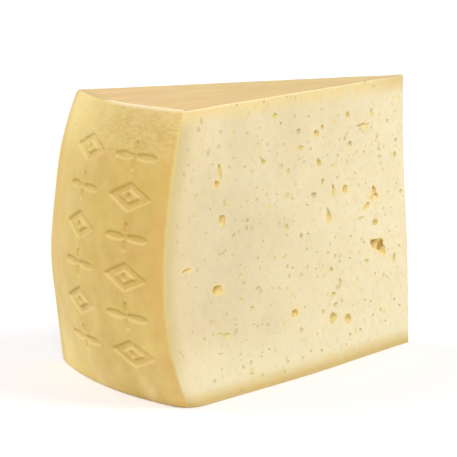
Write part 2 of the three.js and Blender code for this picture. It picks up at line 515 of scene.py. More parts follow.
def flower_stamp():
    petals = [flat_disc(STAMP_DOT, STAMP_DOT)]
    for x, y in ((1, 0), (-1, 0), (0, 1), (0, -1)):
        span = STAMP_WIDTH if x else STAMP_HEIGHT
        length = span / 2 - STAMP_DOT
        middle = span / 2 - length / 2
        petals.append(flat_disc(length if x else STAMP_STROKE, length if y else STAMP_STROKE,
                                x * middle, y * middle))
    return join(petals, "flower_stamp")


stamps = [lozenge_stamp(), flower_stamp()]

# %% Stamps laid on the rind
def rind_seat(across, height):
    """A matrix that lays a flat thing on the rind: x along it, y up it, z out of it."""
    nudge = 0.01
    up = height / NEAR["height"]
    middle, beside, above = (Vector(place(1, a, u)) for a, u in (
        (across, up), (across - nudge, up), (across, up + nudge)))
    along = (beside - middle).normalized()
    out = along.cross(above - middle).normalized()
    facing = Matrix((along, out.cross(along), out)).transposed().to_4x4()
    return Matrix.Translation(middle) @ facing


def copy_to(original, matrix):
    twin = original.copy()
    twin.data = original.data.copy()
    bpy.context.scene.collection.objects.link(twin)
    twin.data.transform(matrix)
    return twin


laid = [copy_to(stamps[(row + column) % 2], rind_seat(across, STAMP_LOWEST + row * STAMP_PITCH))
        for column, across in enumerate(STAMP_COLUMNS) for row in range(STAMP_COUNT)]
stamp_field = join(laid, "stamp_field")
add_modifier(stamp_field, "SHRINKWRAP", target=wedge)
apply_modifiers(stamp_field)
print("stamps:", len(laid))

# %% Pressing the stamps in
RIND_FROM, RIM_ROOM = 0.985, 0.04    # shares: what counts as rind, and the rims left alone

out, across, up = shares(points_of(wedge))
rind_points = np.flatnonzero((out > RIND_FROM) & (up > RIM_ROOM) & (up < 1 - RIM_ROOM))
pressed = wedge.vertex_groups.new(name="pressed")
pressed.add(rind_points.tolist(), 1.0, "REPLACE")
add_modifier(wedge, "VERTEX_WEIGHT_PROXIMITY", vertex_group="pressed", target=stamp_field,
             proximity_mode="GEOMETRY", proximity_geometry={"FACE"},
             min_dist=STAMP_WALL, max_dist=0.0, falloff_type="SMOOTH")
add_modifier(wedge, "DISPLACE", vertex_group="pressed", mid_level=0, strength=-STAMP_DEPTH)
slopes_before = normals_of(wedge)
apply_modifiers(wedge)
for stamp in (*stamps, stamp_field):
    bpy.data.objects.remove(stamp)

# %% [markdown]
# Pressing has tilted the rind round every stamp: down on the upper walls and up on the
# lower ones. The tilt is the change in each point's normal, and it is kept on the mesh for
# the rind's colours: painted shade on the upper walls, painted light on the lower ones.

# %% Tilt kept on the mesh
def keep(name, values):
    attribute = wedge.data.attributes.new(name, "FLOAT", "POINT")
    attribute.data.foreach_set("value", values.astype(np.float32))


turned_down = np.zeros(len(slopes_before))
turned_down[rind_points] = (slopes_before - normals_of(wedge))[rind_points, 2]
keep("turned_down", turned_down)
print(f"walls turned by up to {turned_down.max():.2f} down and {-turned_down.min():.2f} up")

# %% [markdown]
# ## Eyes
#
# The eyes are bubbles that gas blew in the paste and the knife laid open. Each is a small
# lumpy ball cut out of the wedge. The larger ones of the near cut are listed one by one, as in
# the photograph: millimetres out from the tip and up from the foot, length, height, how
# steeply the long way climbs towards the rind, and how warm the lining looks, from grey
# (0) over olive to gold (1). The far cut gets its own, by seeded chance.

# %% The near cut's eyes
NEAR_EYES = (
    (26.4, 52.3, 10.5, 6.2, 10, 1.0), (22.2, 48.7, 6, 4.2, 20, 0.95), (30.5, 54, 3, 3, 0, 0.8),
    (27.2, 78, 4, 5, 0, 0.85), (29.2, 75, 3, 3.6, -25, 0.9), (25, 75, 2.6, 4, 25, 0.8),
    (33.4, 71.6, 6.5, 3, -20, 0.9), (27.3, 63, 5, 3.6, 15, 0.5), (38.3, 66.6, 7, 1.6, 0, 0.4),
    (50.6, 82, 4.5, 4.8, 0, 0.9), (59.3, 82.5, 3, 6, 0, 0.75), (63.2, 70.8, 4, 6.5, -8, 0.85),
    (64.4, 74.6, 2.6, 2.2, 0, 0.1), (139.8, 101.5, 2.8, 9, 0, 0.75), (142, 96, 4, 3.6, -20, 0.9),
    (139.9, 79.8, 5.5, 5.2, 0, 0.75), (164.9, 61.4, 7.5, 2.6, 0, 0.85),
    (144.8, 49.8, 7, 5.2, 0, 0.9), (141, 28.5, 6, 2.8, 8, 0.45), (145.5, 29.9, 5, 1.4, 5, 0.45),
    (145.9, 20.9, 6, 1.5, 0, 0.1), (92.2, 30.4, 5.2, 4.2, 0, 0.9), (63.8, 23.2, 5.4, 5.8, 0, 0.4),
    (51.8, 20.7, 5, 5.4, 0, 0.9), (109.2, 102, 3.6, 3.6, 0, 0.4), (111.5, 104.4, 2, 2.5, 0, 0.45),
    (100, 121.8, 4.4, 3.4, 0, 0.45), (95.7, 117.8, 2.4, 2.2, 0, 0.6), (65.5, 112.9, 2.6, 3.2, 0, 0.75),
    (70, 110.4, 3.8, 3.6, 0, 0.8), (82.3, 105.1, 4, 3.2, 0, 0.4), (46.4, 116.4, 4, 3.2, 0, 0.42),
    (35.2, 110.4, 11, 2, 0, 0.8), (36.5, 108.5, 4.5, 1.6, 0, 0.3), (69, 96.8, 4, 4, 0, 0.4),
    (67, 87.8, 3, 3.6, 0, 0.25), (73.7, 82.4, 4.2, 3.2, 0, 0.1), (27.5, 115.6, 2.6, 4.4, 0, 0.6),
    (45.2, 102.7, 3.2, 3.6, 0, 0.3), (9.2, 93.2, 3, 3.4, 0, 0.4), (5.5, 75, 3, 2.4, 0, 0.4),
    (35, 45.6, 5, 2.2, 20, 0.45), (13.1, 43.6, 3, 5.5, 15, 0.5), (57, 38.6, 2.4, 6, 0, 0.15),
    (62.2, 34, 4, 3, 0, 0.3), (61.1, 28.9, 4, 3, 0, 0.25), (118.1, 45.8, 4, 2.6, 0, 0.15),
    (122.8, 37.5, 3.6, 2.8, 0, 0.25), (63.4, 45.8, 3.4, 3, 0, 0.35), (82.8, 112.9, 3.4, 3.4, 0, 0.1),
    (137.6, 87.4, 2.2, 3.4, 0, 0.3), (92, 95.7, 3, 3, 0, 0.35), (95.2, 70.4, 3.6, 3.4, 0, 0.3),
    (84.8, 64.7, 3, 3, 0, 0.0), (122.8, 77.2, 3, 2.6, 0, 0.2), (132.6, 71.8, 3, 2.8, 0, 0.2),
)
NEAR_PINHOLES = (
    (15.2, 110.3), (75.7, 118.7), (66, 121), (34.5, 97.7), (22.6, 97.8), (21.7, 94), (8.2, 100.3),
    (59.6, 94.3), (56, 88), (16, 76), (8.8, 48.8), (16, 57), (47, 59), (81.4, 58.1), (81.6, 50.3),
    (56.5, 48.7), (86.3, 47), (50.6, 12.6), (42, 13.4), (76.9, 17.7), (88.7, 21.7), (71.2, 27.2),
    (32.9, 25.7), (24.9, 20), (13.7, 23.4), (94.5, 108), (138, 118.6), (129.3, 117.3),
    (119.7, 116), (112.5, 110.5), (139.6, 112.2), (130, 106), (122.7, 101.3), (96.7, 98.6),
    (156, 92.6), (127, 84), (122, 85.5), (115.5, 85.6), (108.3, 87), (93, 84.5), (90, 82.8),
    (158.4, 84.2), (151.5, 75.5), (119.8, 72.4), (112.7, 66.3), (95.5, 66.5), (143, 65),
    (134, 63.5), (129.2, 58.5), (129.7, 53.5), (127.4, 49.7), (159.9, 53.2), (150.4, 44.9),
    (140.3, 37.6), (130.1, 42.8), (149.6, 35.1), (134.3, 32.2), (103, 43.8), (92.5, 51.3),
    (98.7, 56.8), (105, 57.5), (155.9, 29.5), (128.2, 23.9), (125.2, 8.2), (112.5, 17.2),
    (150.4, 9.6), (112.5, 28), (82.4, 10.8), (74, 9.5),
)
print("by hand:", len(NEAR_EYES), "eyes and", len(NEAR_PINHOLES), "pinholes")

# %% Chance
chance = np.random.default_rng(1570)
FAR_EYES, FAR_PINHOLES, NEAR_SPECKS = 34, 110, 50


def scatter(count, taken, gap, margin=7.0):
    """Chance places on a cut, in mm, each at least a gap from all that are taken."""
    added = []
    while len(added) < count:
        spot = (chance.uniform(margin, FAR["reach"][1] / MM - margin),
                chance.uniform(margin, FAR["height"] / MM - margin))
        if all(math.dist(spot, other[:2]) > gap for other in (*taken, *added)):
            added.append(spot)
    return added


def chance_eye(side, spot, smallest, largest, warmest):
    length = mix(smallest, largest, chance.random() ** 2.2)
    return Eye(side, *spot, length, length * chance.uniform(0.45, 1), chance.uniform(-40, 40),
               chance.uniform(0, warmest))


Eye = namedtuple("Eye", "side out up length height climb warmth")
far_spots = scatter(FAR_EYES, (), 11, 12)
eyes = [Eye(0, *eye) for eye in NEAR_EYES] + [chance_eye(1, spot, 3, 11, 1) for spot in far_spots]
near_specks = scatter(NEAR_SPECKS, (*NEAR_EYES, *NEAR_PINHOLES), 5)
pinholes = [chance_eye(0, spot, 1.9, 3.4, 0.35) for spot in NEAR_PINHOLES]
pinholes += [chance_eye(0, spot, 1.2, 2.2, 0.4) for spot in near_specks]
pinholes += [chance_eye(1, spot, 1.5, 3.2, 0.4) for spot in scatter(FAR_PINHOLES, far_spots, 7)]
print("in all:", len(eyes), "eyes and", len(pinholes), "pinholes")

# %% Where a cut's eye lies
def cut_seat(across, out, height, climb=0.0):
    """Lays a thing in a cut: x out along it, y square to it, z up it."""
    up = height / (NEAR if across == 0 else FAR)["height"]
    reach = reach_at(across, up)
    corner = tip_at(up) + direction(turn_at(across, up)) * reach
    foot = Vector((*mix(nose_at(up), corner, out / reach), height))
    along = Vector((*(corner - nose_at(up)), 0)).normalized()
    square = Vector((0, 0, 1)).cross(along)
    seat = Matrix((along, square, Vector((0, 0, 1)))).transposed().to_4x4()
    return Matrix.Translation(foot) @ seat @ Matrix.Rotation(math.radians(-climb), 4, "Y")


def ball(subdivisions):
    rest()
    bpy.ops.mesh.primitive_ico_sphere_add(subdivisions=subdivisions, radius=0.5)
    return bpy.context.object


# %% [markdown]
# The squares of a cut are two millimetres wide, too coarse for the lip of an eye, so they
# are halved round every eye before it is cut. A tree of the eyes' places finds the ones
# near a face quickly.

# %% Finer squares round the eyes
def eye_tree(kinds):
    tree = KDTree(len(kinds))
    for index, eye in enumerate(kinds):
        tree.insert(cut_seat(eye.side, eye.out * MM, eye.up * MM).translation, index)
    tree.balance()
    return tree


def half_size(eye):
    return max(eye.length, eye.height) / 2 * MM


eye_places = eye_tree(eyes)
LIP_ROOM = 0.8 * MM


def near_eye(face):
    """Paste within a lip's width of an eye."""
    if face.material_index != PASTE:
        return False
    room = LIP_ROOM + 0.5 * math.sqrt(face.calc_area())
    return any(distance < half_size(eyes[index]) + room
               for _, index, distance in eye_places.find_n(face.calc_center_median(), 3))


for _ in range(2):
    halve(wedge, near_eye)
print("round the eyes:", len(wedge.data.polygons), "faces")

# %% [markdown]
# An eye isn't a clean ball: bubbles run together and the knife drags their lips. Each
# cutter is a ball with two smaller ones stuck to it. A voxel remesh melts the balls into
# one skin, and a fine noise roughens it. Pinholes are too small for any of that, and stay
# plain balls squeezed to different sizes.

# %% Cutters
EYE_GRAIN, EYE_ROUGHNESS, EYE_LUMP = 0.55 * MM, 1.0 * MM, 2.5 * MM
SUNK = 0.12                          # how far a ball's middle lies below the cut, in radii
EYE_DEPTH, DEEPEST = 0.75, 6.0       # a ball's depth by its smaller size, and the most, in mm
PIN_DEPTH = 1.0


def ball_for(eye, depth, part=1.0, away=(0.0, 0.0)):
    """The matrix that makes a ball of 1 m into this eye, or into a part of it, beside it."""
    seat = cut_seat(eye.side, eye.out * MM, eye.up * MM, eye.climb)
    sink = SUNK * depth / 2 * (-1 if eye.side == 0 else 1)
    move = Matrix.Translation(Vector((away[0] * eye.length, sink, away[1] * eye.height)) * MM)
    size = Matrix.Diagonal((eye.length * part * MM, depth * MM, eye.height * part * MM, 1))
    return seat @ move @ size


big_ball, small_ball = ball(3), ball(2)
balls = []
for eye in eyes:
    depth = min(EYE_DEPTH * min(eye.length, eye.height), DEEPEST)
    balls.append(copy_to(big_ball, ball_for(eye, depth, 0.88)))
    for turn in (chance.uniform(0, math.pi), chance.uniform(math.pi, 2 * math.pi)):
        away = 0.3 * math.cos(turn), 0.3 * math.sin(turn)
        balls.append(copy_to(big_ball, ball_for(eye, depth * 0.7, 0.55, away)))
cutter = join(balls, "eye_cutter")

lumps = bpy.data.textures.new("lumps", "CLOUDS")
lumps.noise_scale = EYE_LUMP
add_modifier(cutter, "REMESH", mode="VOXEL", voxel_size=EYE_GRAIN)
add_modifier(cutter, "DISPLACE", texture=lumps, strength=EYE_ROUGHNESS, mid_level=0.5,
             texture_coords="LOCAL")
add_modifier(cutter, "SMOOTH", factor=0.5, iterations=2)
apply_modifiers(cutter)

pins = [copy_to(small_ball, ball_for(eye, PIN_DEPTH)) for eye in pinholes]
pin_cutter = join(pins, "pin_cutter")
for blank in (big_ball, small_ball):
    bpy.data.objects.remove(blank)
print("cutters:", len(cutter.data.polygons), "and", len(pin_cutter.data.polygons), "faces")

# %% Cutting the eyes
def triangles(obj):
    return sum(len(face.vertices) - 2 for face in obj.data.polygons)


for tool in (cutter, pin_cutter):
    give_finishes(tool, LINING)
    add_modifier(wedge, "BOOLEAN", object=tool, operation="DIFFERENCE", solver="MANIFOLD")
apply_modifiers(wedge)
for tool in (cutter, pin_cutter):
    bpy.data.objects.remove(tool)
print("cut:", triangles(wedge), "triangles,",
      sum(face.material_index == LINING for face in wedge.data.polygons), "faces of lining")

# %% Soft lips
def on_lip(point):
    """Points where the paste meets the lining of an eye, pinholes apart."""
    if {face.material_index for face in point.link_faces} != {PASTE, LINING}:
        return False
    _, index, distance = eye_places.find(point.co)
    return distance < half_size(eyes[index]) + LIP_ROOM


edit_parts(wedge, "VERT", on_lip)
bpy.ops.mesh.vertices_smooth(factor=0.5, repeat=2)
bpy.ops.mesh.select_more()
bpy.ops.mesh.vertices_smooth(factor=0.5, repeat=2)
rest()

# %% [markdown]
# ## What the colours need to know
#
# The paste darkens towards the rind, and an eye's lining deepens with its depth. Those
# distances follow the shape, so they are measured once here and kept on the mesh's points,
# in millimetres, for the materials to read. Kept as well are the lip, which gets a painted
# highlight, the warmth of the nearest eye, and how far towards its upper side a point lies,
# where painted shade stands in for the lip's shade.

# %% Distances kept on the mesh
points = points_of(wedge)
out, across, up = shares(points)
reach = reach_at(across, up)
spread = turn_at(0.0, up) - turn_at(1.0, up)
nearest_cut = np.minimum(across, 1 - across)

keep("below_rind", (1 - out) * reach / MM)
keep("below_top", (1 - up) * top_height(points[:, 0], points[:, 1]) / MM)
keep("above_foot", points[:, 2] / MM)
keep("from_cut", nearest_cut * spread * reach / MM)
keep("into_cut", np.sin(nearest_cut * spread) * out * reach / MM)

# Where the lip's painted highlight goes.
keep("lip", smooth((LIP_END - across) / LIP_FADE) * smooth(1.3 - (1 - out) * reach / LIP_WIDTH)
     * smooth(1.5 - (1 - up) * TIP_HEIGHT / LIP_HEIGHT))

both_kinds = [*eyes, *pinholes]
all_places = eye_tree(both_kinds)
nearest = np.array([both_kinds[all_places.find(point)[1]] for point in points])
_, eye_out, eye_up, length, height, _, warmth = nearest.T
towards_rind = (out * reach / MM - eye_out) / (length / 2)
upwards = (points[:, 2] / MM - eye_up) / (height / 2)
keep("warmth", warmth)
keep("under_lip", 0.6 * towards_rind + 0.5 * upwards)

lined = sorted({index for face in wedge.data.polygons if face.material_index == LINING
                for index in face.vertices})
lining_points = KDTree(len(lined))
for index in lined:
    lining_points.insert(points[index], index)
lining_points.balance()
COLD_REACH = 4.0                     # added round a cold eye, so that it gets no yellow ring
keep("from_eye", np.array([lining_points.find(point)[2] for point in points]) / MM
     + COLD_REACH * (1 - warmth))

# %% [markdown]
# ## Unevenness
#
# Nothing in a cheese is quite flat. The knife wandered: the near cut stands proud along its
# foot, and the tip's edge has a slight wave. The far rim gives way in two shallow hollows.
# Then a slow swell of a few tenths of a millimetre goes over everything, slow enough to
# leave the edges clean.

# %% The knife's wandering
BOW, WAVE = 2.0 * MM, 0.4 * MM
near_side = np.array((*direction(np.radians(NEAR["turn"][0] + 90)), 0))

bow = BOW * (4 * out * (1 - out)) ** 3 * (1 - up) ** 2 * (1 - across) ** 2
wave = WAVE * np.sin(2 * np.pi * up) * (1 - smooth(out * 3))
points += bow[:, None] * near_side + wave[:, None] * np.array(level)

# %% Two shallow hollows at the far rim
HOLLOW = 0.8 * MM
HOLLOW_PLACE, HOLLOW_PITCH = 0.62, 0.43      # as shares of the height

hollow = HOLLOW * np.cos(np.pi * (up - HOLLOW_PLACE) / HOLLOW_PITCH) ** 2
hollow *= smooth(2 * across - 1) * smooth(10 * out - 9) * (up < HOLLOW_PLACE + HOLLOW_PITCH / 2)
points[:, :2] -= hollow[:, None] * direction(turn_at(across, up))
move_points(wedge, points)
print(f"bow {bow.max() / MM:.1f}, wave {wave.max() / MM:.1f}, hollows {hollow.max() / MM:.1f} mm")

# %% Slow swell
SWELL_SIZE, SWELL_HEIGHT = 22 * MM, 0.5 * MM
swells = bpy.data.textures.new("swells", "CLOUDS")
swells.noise_scale = SWELL_SIZE
add_modifier(wedge, "DISPLACE", texture=swells, strength=SWELL_HEIGHT, mid_level=0.5,
             texture_coords="LOCAL")
apply_modifiers(wedge)
points = points_of(wedge)
points[:, 2] = np.maximum(points[:, 2], 0)      # it still stands flat
move_points(wedge, points)

# %% In its place
wedge.data.transform(Matrix.Translation(shift))
camera.matrix_world = (Matrix.Translation(eye_point + shift)
                       @ Matrix((right, back.cross(right), back)).transposed().to_4x4())
take(wedge)
bpy.ops.object.shade_smooth_by_angle(angle=math.radians(40))
print("moved by", [round(v / MM, 2) for v in shift])

# %% [markdown]
# ## Colours as nodes
#
# A finish is a chain of nodes: masks say where, colours say what, and each layer lies over
# the one before. Small helpers keep the chains short. Colours are written as a screen shows
# them, from 0 to 255, and turned into the light values that shaders take.

# %% Node helpers
def tone(red, green, blue):
    def light(value):
        share = value / 255
        return share / 12.92 if share < 0.04 else ((share + 0.055) / 1.055) ** 2.4
    return light(red), light(green), light(blue), 1.0


def node(tree, kind, inputs=None, **settings):
    """Adds a node with its settings, and gives its inputs values or links."""
    made = tree.nodes.new(kind)
    for key, value in settings.items():
        setattr(made, key, value)
    for key, value in (inputs or {}).items():
        if isinstance(value, bpy.types.NodeSocket):
            tree.links.new(value, made.inputs[key])
        else:
            made.inputs[key].default_value = value
    return made


def over(tree, share, under, colour, how="MIX"):
    """Lays a colour over another by a share that changes over the surface."""
    return node(tree, "ShaderNodeMix", {0: share, 6: under, 7: colour},
                data_type="RGBA", blend_type=how).outputs[2]


def sums(tree, operation, *values):
    return node(tree, "ShaderNodeMath", dict(enumerate(values)), operation=operation).outputs[0]


def layer(tree, colour, mask, strength, shade):
    """Lays a shade over the colour so far, by a mask times a strength or a second mask."""
    return over(tree, sums(tree, "MULTIPLY", mask, strength), colour, tone(*shade))


def ease(tree, value, start, end, low=0.0, high=1.0):
    """Eases from low to high as a value goes from start to end."""
    return node(tree, "ShaderNodeMapRange", dict(enumerate((value, start, end, low, high))),
                interpolation_type="SMOOTHSTEP").outputs[0]


def kept(tree, name):
    return node(tree, "ShaderNodeAttribute", attribute_name=name).outputs["Fac"]


# %% [markdown]
# ## Effects that the finishes share
#
# Blotches, ragged bands and grain are in rind and paste alike, only of other sizes, so each
# is a group: built once, and placed in every finish with its own numbers.

# %% Shared groups
NUMBER, VECTOR = "NodeSocketFloat", "NodeSocketVector"


def new_group(name, result, **inputs):
    """An empty group with named inputs and one output."""
    group = bpy.data.node_groups.new(name, "ShaderNodeTree")
    for label, kind in inputs.items():
        group.interface.new_socket(label, in_out="INPUT", socket_type=kind)
    group.interface.new_socket(result, in_out="OUTPUT", socket_type=NUMBER)
    given = group.nodes.new("NodeGroupInput").outputs
    wanted = group.nodes.new("NodeGroupOutput").inputs
    return group, given, wanted


def noise(tree, where, size, seed, detail):
    """Cloudy noise from 0 to 1, of a size in millimetres."""
    inputs = {"Vector": where, "W": seed, "Detail": detail,
              "Scale": sums(tree, "DIVIDE", 1 / MM, size)}
    return node(tree, "ShaderNodeTexNoise", inputs, noise_dimensions="4D").outputs["Fac"]


blotches, given, wanted = new_group("blotches", "Mask", Place=VECTOR, Size=NUMBER, Seed=NUMBER)
cloud = noise(blotches, given["Place"], given["Size"], given["Seed"], 3.0)
blotches.links.new(ease(blotches, cloud, 0.36, 0.64), wanted["Mask"])

band, given, wanted = new_group("ragged band", "Mask", Place=VECTOR, Distance=NUMBER, Width=NUMBER,
                                Fade=NUMBER, Ragged=NUMBER, Size=NUMBER)
cloud = sums(band, "SUBTRACT", noise(band, given["Place"], given["Size"], 0.0, 2.0), 0.5)
reached = sums(band, "MULTIPLY_ADD", cloud, given["Ragged"], given["Distance"])
end = sums(band, "ADD", given["Width"], given["Fade"])
band.links.new(ease(band, reached, given["Width"], end, 1.0, 0.0), wanted["Mask"])

grain, given, wanted = new_group("grain", "Height", Place=VECTOR, Size=NUMBER, Seed=NUMBER)
coarse = noise(grain, given["Place"], given["Size"], given["Seed"], 4.0)
grain.links.new(coarse, wanted["Height"])

FLECK = 0.3                          # the largest fleck's radius, as a share of the cells' size
flecks, given, wanted = new_group("flecks", "Mask", Place=VECTOR, Size=NUMBER)
warp = sums(flecks, "MULTIPLY", noise(flecks, given["Place"], 2.0, 0.0, 2.0), 0.2)
cells = node(flecks, "ShaderNodeTexVoronoi",
             {"Vector": given["Place"], "Scale": sums(flecks, "DIVIDE", 1 / MM, given["Size"])})
radius = node(flecks, "ShaderNodeSeparateColor", {0: cells.outputs["Color"]}).outputs[0]
radius = sums(flecks, "MULTIPLY", radius, FLECK)
inside = sums(flecks, "SUBTRACT", radius, sums(flecks, "ADD", cells.outputs["Distance"], warp))
flecks.links.new(ease(flecks, inside, -0.06, 0.06), wanted["Mask"])


def use(tree, group, **inputs):
    return node(tree, "ShaderNodeGroup", inputs, node_tree=group).outputs[0]


def add_blotches(tree, where, colour, *rows):
    """Lays blotches over the colour; a row holds size, seed, strength and shade."""
    for size, seed, strength, shade in rows:
        mask = use(tree, blotches, Place=where, Size=size, Seed=seed)
        colour = layer(tree, colour, mask, strength, shade)
    return colour


def along_edge(tree, where, edge, width, fade, ragged, size):
    """A ragged band along an edge, by the distance that is kept under its name."""
    return use(tree, band, Place=where, Distance=kept(tree, edge), Width=width, Fade=fade,
               Ragged=ragged, Size=size)


def add_bands(tree, where, colour, *rows):
    """Lays bands over the colour; a row holds what along_edge takes, strength and shade."""
    for *shape, strength, shade in rows:
        colour = layer(tree, colour, along_edge(tree, where, *shape), strength, shade)
    return colour


def start_finish(index, roughness, scattered, gloss=0.5):
    """Opens a finish: its nodes, its shader and the place on the object."""
    finishes[index].use_nodes = True
    tree = finishes[index].node_tree
    surface = tree.nodes["Principled BSDF"]
    surface.inputs["Specular IOR Level"].default_value = gloss
    surface.inputs["Roughness"].default_value = roughness
    surface.inputs["Subsurface Weight"].default_value = scattered
    surface.inputs["Subsurface Radius"].default_value = (1.0, 0.6, 0.25)
    surface.inputs["Subsurface Scale"].default_value = 3 * MM
    return tree, surface, node(tree, "ShaderNodeTexCoord").outputs["Object"]


def end_finish(tree, surface, colour, height, relief, shine=None):
    """Links the last colour, a bump of the given height in metres, and a varying roughness."""
    tree.links.new(colour, surface.inputs["Base Color"])
    bump = node(tree, "ShaderNodeBump", {"Height": height, "Distance": relief, "Strength": 1.0})
    tree.links.new(bump.outputs["Normal"], surface.inputs["Normal"])
    if shine is not None:
        tree.links.new(shine, surface.inputs["Roughness"])


print("groups:", [group.name for group in bpy.data.node_groups])

# %% [markdown]
# ## Rind
#
# The rind of a young wheel is thin and straw-gold. It is paler at the shoulder and the
# foot, most of all towards the far rim, partly its own tone and partly painted light; it
# turns amber half way up towards the far rim, has soft tan clouds as large as a thumb, and
# keeps a thin yellow-green line where a knife has just opened it. The stamps get painted
# shade on their upper walls and painted light on their lower ones, and a painted highlight
# runs along the lip at the top rim.

# %% Rind finish
tree, surface, place_on = start_finish(RIND, 0.5, 0.12, 0.25)
up_rind = sums(tree, "DIVIDE", kept(tree, "above_foot"), NEAR["height"] / MM)
rind_stops = node(tree, "ShaderNodeValToRGB", {0: up_rind})
# Paler at the foot and the shoulder: partly the rind's own tone, partly painted light for the lamps on
# the upper swell and against the shade at the foot.
rind_colours = ((0.0, (246, 219, 154)), (0.2, (231, 202, 121)), (0.5, (210, 174, 92)),
                (0.8, (209, 175, 95)), (0.93, (214, 184, 110)), (1.0, (230, 202, 138)))
stops = rind_stops.color_ramp.elements
for place_up, _ in rind_colours[1:-1]:
    stops.new(place_up)
for stop, (place_up, shade) in zip(stops, rind_colours):
    stop.position, stop.color = place_up, tone(*shade)
colour = add_blotches(tree, place_on, rind_stops.outputs[0],
                      (16.0, 0.0, 0.6, (213, 168, 98)), (24.0, 1.0, 0.55, (216, 190, 97)),
                      (11.0, 2.0, 0.4, (201, 171, 88)), (8.0, 3.0, 0.3, (228, 198, 126)))

sideways = node(tree, "ShaderNodeSeparateXYZ", {0: place_on}).outputs[0]
from_middle = sums(tree, "ABSOLUTE", sums(tree, "SUBTRACT", up_rind, 0.5))
# Paler towards the far rim, most at the shoulder and the foot: partly the rind's own tone, partly
# painted light.
pale_and_painted_light = ease(tree, sideways, -58 * MM, 20 * MM, 1.0, 0.0)
colour = layer(tree, colour, pale_and_painted_light, ease(tree, from_middle, 0.2, 0.46, 0.3, 1.0), (252, 227, 146))
colour = add_bands(tree, place_on, colour,
                   ("from_cut", 3.0, 10.0, 6.0, 12.0, 0.5, (226, 184, 104)),
                   ("from_cut", 0.6, 2.2, 1.2, 8.0, 0.85, (224, 207, 132)))
amber = ease(tree, sideways, -60 * MM, -8 * MM, 0.45, 0.0)
colour = layer(tree, colour, amber, ease(tree, from_middle, 0.2, 0.42, 1.0, 0.0), (234, 194, 88))
turned = kept(tree, "turned_down")
# Painted shade on the stamps' upper walls, which face down, and painted light on their lower walls,
# which face up.
colour = over(tree, ease(tree, turned, 0.05, 0.5, 0.0, 0.6), colour, tone(190, 158, 52))
colour = over(tree, ease(tree, turned, -0.5, -0.05, 0.4, 0.0), colour, tone(240, 216, 146))
# Painted highlight along the lip.
colour = over(tree, kept(tree, "lip"), colour, tone(255, 240, 205))
pores = use(tree, grain, Place=place_on, Size=1.6, Seed=4.0)
colour = over(tree, ease(tree, pores, 0.56, 0.75, 0.0, 0.2), colour, tone(190, 150, 84))

flattened = node(tree, "ShaderNodeMapping", {0: place_on, "Scale": (0.35, 0.35, 1.0)}).outputs[0]
cloth = use(tree, blotches, Place=flattened, Size=1.3, Seed=5.0)
under_shoulder = along_edge(tree, place_on, "below_top", 14.0, 14.0, 10.0, 16.0)
cloth = sums(tree, "MULTIPLY", cloth, under_shoulder)
colour = layer(tree, colour, cloth, 0.3, (240, 218, 154))
relief = sums(tree, "MULTIPLY_ADD", cloth, 0.6, pores)
waxy = use(tree, blotches, Place=place_on, Size=9.0, Seed=6.0)
end_finish(tree, surface, colour, relief, 0.28 * MM, ease(tree, waxy, 0.0, 1.0, 0.42, 0.56))

# %% [markdown]
# ## The flat faces
#
# Top and underside lay on boards: smoother than the side, peach towards the rim, and with
# faint long streaks. The streaks are blotches on a place that is squeezed one way.

# %% Flat rind finish
tree, surface, place_on = start_finish(FLATS, 0.5, 0.12, 0.25)
rim_side = ease(tree, kept(tree, "below_rind"), 0.0, 110.0)
colour = over(tree, rim_side, tone(234, 198, 134), tone(222, 197, 128))
squeezed = node(tree, "ShaderNodeMapping", {0: place_on, "Scale": (1.0, 0.12, 1.0)}).outputs[0]
colour = add_blotches(tree, squeezed, colour, (3.0, 1.0, 0.4, (204, 170, 106)))
colour = add_blotches(tree, place_on, colour, (24.0, 5.0, 0.4, (228, 202, 140)),
                      (13.0, 8.0, 0.4, (222, 178, 122)))
# A darker band just inside the rim: painted shade behind the raised lip.
colour = add_bands(tree, place_on, colour,
                   ("below_rind", 2.0, 3.0, 2.0, 8.0, 0.6, (206, 180, 120)))
# Painted highlight along the lip.
colour = over(tree, kept(tree, "lip"), colour, tone(255, 240, 205))
pores = use(tree, grain, Place=place_on, Size=2.0, Seed=6.0)
end_finish(tree, surface, colour, pores, 0.25 * MM)

# %% [markdown]
# ## Paste
#
# Freshly cut paste is cream, cloudy in patches as wide as two fingers, with fine curd
# grain, palest towards the tip and dusky half way up near the rind; the paleness towards the
# tip and in a band above the foot is partly its own tone and partly painted light. It dries
# yellow in ragged bands along its edges: broad under the rind, streaky under the top, and tan
# in the last millimetres over the foot. A thin bright line under the top edge is a painted
# highlight.

# %% Paste finish
tree, surface, place_on = start_finish(PASTE, 0.45, 0.25)
clouds = use(tree, blotches, Place=place_on, Size=24.0, Seed=14.0)
colour = over(tree, clouds, tone(225, 208, 166), tone(234, 220, 180))
